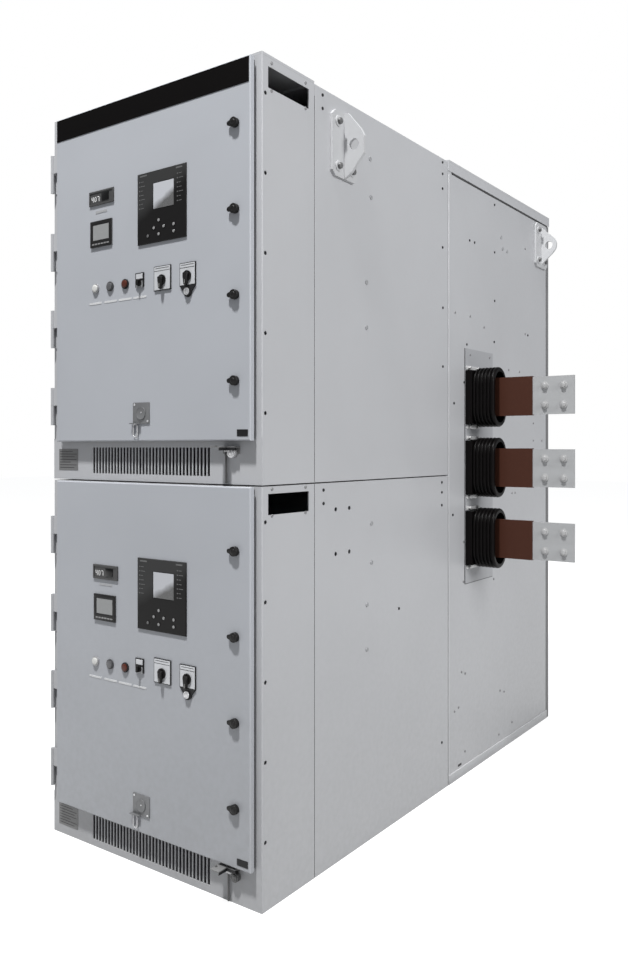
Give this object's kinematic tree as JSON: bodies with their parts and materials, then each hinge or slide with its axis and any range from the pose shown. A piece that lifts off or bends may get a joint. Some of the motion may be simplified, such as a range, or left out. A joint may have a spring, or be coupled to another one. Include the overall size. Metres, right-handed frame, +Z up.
{
  "type": "metal-clad switchgear",
  "caption": "Two-high metal-clad switchgear section on the floor, with two hinged doors, turning knobs and switches, lifting lugs and bus bars out to one side.",
  "frame": {"origin": "on the floor, at the middle of the cabinet's width and depth", "axes": "+Z up, -Y towards the front doors, +X to the side that the bus bars come out of"},
  "size_m": [1.4194, 2.247, 2.413],
  "materials": {
    "door_grey": "semi-gloss powder coat",
    "cabinet_grey": "semi-gloss powder coat",
    "plated_steel": "zinc plated",
    "silver_plate": "silver plated copper, dull",
    "black_plastic": "moulded, matt",
    "black_panel": "smooth black bezel",
    "black_paint": "black band",
    "bushing_epoxy": "moulded epoxy and rubber",
    "brown_epoxy": "fluidised-bed epoxy coat",
    "seal_rubber": "sponge seal",
    "button_parts": "metal collars with coloured caps",
    "plate_silver": "legend plates"
  },
  "bodies": {
    "cabinet": {"right_frame_strips": "cabinet_grey", "left_frame_strips": "cabinet_grey", "frame_headers": "cabinet_grey", "upper_vent_panel": "cabinet_grey", "lower_vent_panel": "cabinet_grey", "right_side_sheets": "cabinet_grey", "left_side_sheets": "cabinet_grey", "front_floor": "cabinet_grey", "middle_deck": "cabinet_grey", "front_roof": "cabinet_grey", "middle_barrier": "cabinet_grey", "rear_right_side": "cabinet_grey", "rear_left_side": "cabinet_grey", "rear_roof": "cabinet_grey", "rear_floor": "cabinet_grey", "rear_covers": "cabinet_grey", "lifting_lugs": "cabinet_grey", "bushing_plate": "cabinet_grey", "bus_bushings": "bushing_epoxy", "bus_sleeves": "brown_epoxy", "bus_bars": "silver_plate", "frame_hinges": "cabinet_grey", "interlocks": "plated_steel"},
    "lower_door": {"lower_door": "door_grey", "lower_door_seal": "seal_rubber", "lower_door_hinges": "door_grey", "lower_relay": "black_panel", "lower_meters": "black_panel", "lower_buttons": "button_parts", "lower_switch_plates": "plate_silver", "lower_port": "plate_silver"},
    "upper_door": {"upper_door": "door_grey", "upper_door_seal": "seal_rubber", "upper_door_hinges": "door_grey", "upper_relay": "black_panel", "upper_meters": "black_panel", "upper_buttons": "button_parts", "upper_switch_plates": "plate_silver", "upper_port": "plate_silver", "header_band": "black_paint"},
    "lower_knob_1": {"lower_knob_1": "black_plastic"},
    "lower_knob_2": {"lower_knob_2": "black_plastic"},
    "lower_knob_3": {"lower_knob_3": "black_plastic"},
    "lower_knob_4": {"lower_knob_4": "black_plastic"},
    "lower_control_1": {"lower_control_1": "black_plastic"},
    "lower_control_2": {"lower_control_2": "black_plastic"},
    "lower_selector": {"lower_selector": "black_plastic"},
    "upper_knob_1": {"upper_knob_1": "black_plastic"},
    "upper_knob_2": {"upper_knob_2": "black_plastic"},
    "upper_knob_3": {"upper_knob_3": "black_plastic"},
    "upper_knob_4": {"upper_knob_4": "black_plastic"},
    "upper_control_1": {"upper_control_1": "black_plastic"},
    "upper_control_2": {"upper_control_2": "black_plastic"},
    "upper_selector": {"upper_selector": "black_plastic"}
  },
  "joints": [
    {"name": "lower_door_hinge", "type": "hinge", "parent": "cabinet", "child": "lower_door", "pos_m": [-0.4482, -1.108, 0.655], "axis": [0, 0, -1], "range_deg": [0, 115]},
    {"name": "upper_door_hinge", "type": "hinge", "parent": "cabinet", "child": "upper_door", "pos_m": [-0.4482, -1.108, 1.8615], "axis": [0, 0, -1], "range_deg": [0, 115]},
    {"name": "lower_knob_1_turn", "type": "hinge", "parent": "lower_door", "child": "lower_knob_1", "pos_m": [0.3838, -1.1223, 0.286], "axis": [0, 1, 0], "range_deg": [0, 90]},
    {"name": "lower_knob_2_turn", "type": "hinge", "parent": "lower_door", "child": "lower_knob_2", "pos_m": [0.3838, -1.1223, 0.528], "axis": [0, 1, 0], "range_deg": [0, 90]},
    {"name": "lower_knob_3_turn", "type": "hinge", "parent": "lower_door", "child": "lower_knob_3", "pos_m": [0.3838, -1.1223, 0.77], "axis": [0, 1, 0], "range_deg": [0, 90]},
    {"name": "lower_knob_4_turn", "type": "hinge", "parent": "lower_door", "child": "lower_knob_4", "pos_m": [0.3838, -1.1223, 1.012], "axis": [0, 1, 0], "range_deg": [0, 90]},
    {"name": "lower_control_1_turn", "type": "hinge", "parent": "lower_door", "child": "lower_control_1", "pos_m": [0.095, -1.1263, 0.624], "axis": [0, 1, 0], "range_deg": [-45, 45]},
    {"name": "lower_control_2_turn", "type": "hinge", "parent": "lower_door", "child": "lower_control_2", "pos_m": [0.2, -1.1263, 0.624], "axis": [0, 1, 0], "range_deg": [-45, 45]},
    {"name": "lower_selector_turn", "type": "hinge", "parent": "lower_door", "child": "lower_selector", "pos_m": [-0.004, -1.1263, 0.624], "axis": [0, 1, 0], "range_deg": [-45, 45]},
    {"name": "upper_knob_1_turn", "type": "hinge", "parent": "upper_door", "child": "upper_knob_1", "pos_m": [0.3838, -1.1223, 1.4925], "axis": [0, 1, 0], "range_deg": [0, 90]},
    {"name": "upper_knob_2_turn", "type": "hinge", "parent": "upper_door", "child": "upper_knob_2", "pos_m": [0.3838, -1.1223, 1.7345], "axis": [0, 1, 0], "range_deg": [0, 90]},
    {"name": "upper_knob_3_turn", "type": "hinge", "parent": "upper_door", "child": "upper_knob_3", "pos_m": [0.3838, -1.1223, 1.9765], "axis": [0, 1, 0], "range_deg": [0, 90]},
    {"name": "upper_knob_4_turn", "type": "hinge", "parent": "upper_door", "child": "upper_knob_4", "pos_m": [0.3838, -1.1223, 2.2185], "axis": [0, 1, 0], "range_deg": [0, 90]},
    {"name": "upper_control_1_turn", "type": "hinge", "parent": "upper_door", "child": "upper_control_1", "pos_m": [0.095, -1.1263, 1.8085], "axis": [0, 1, 0], "range_deg": [-45, 45]},
    {"name": "upper_control_2_turn", "type": "hinge", "parent": "upper_door", "child": "upper_control_2", "pos_m": [0.2, -1.1263, 1.8085], "axis": [0, 1, 0], "range_deg": [-45, 45]},
    {"name": "upper_selector_turn", "type": "hinge", "parent": "upper_door", "child": "upper_selector", "pos_m": [-0.004, -1.1263, 1.8105], "axis": [0, 1, 0], "range_deg": [-45, 45]}
  ]
}
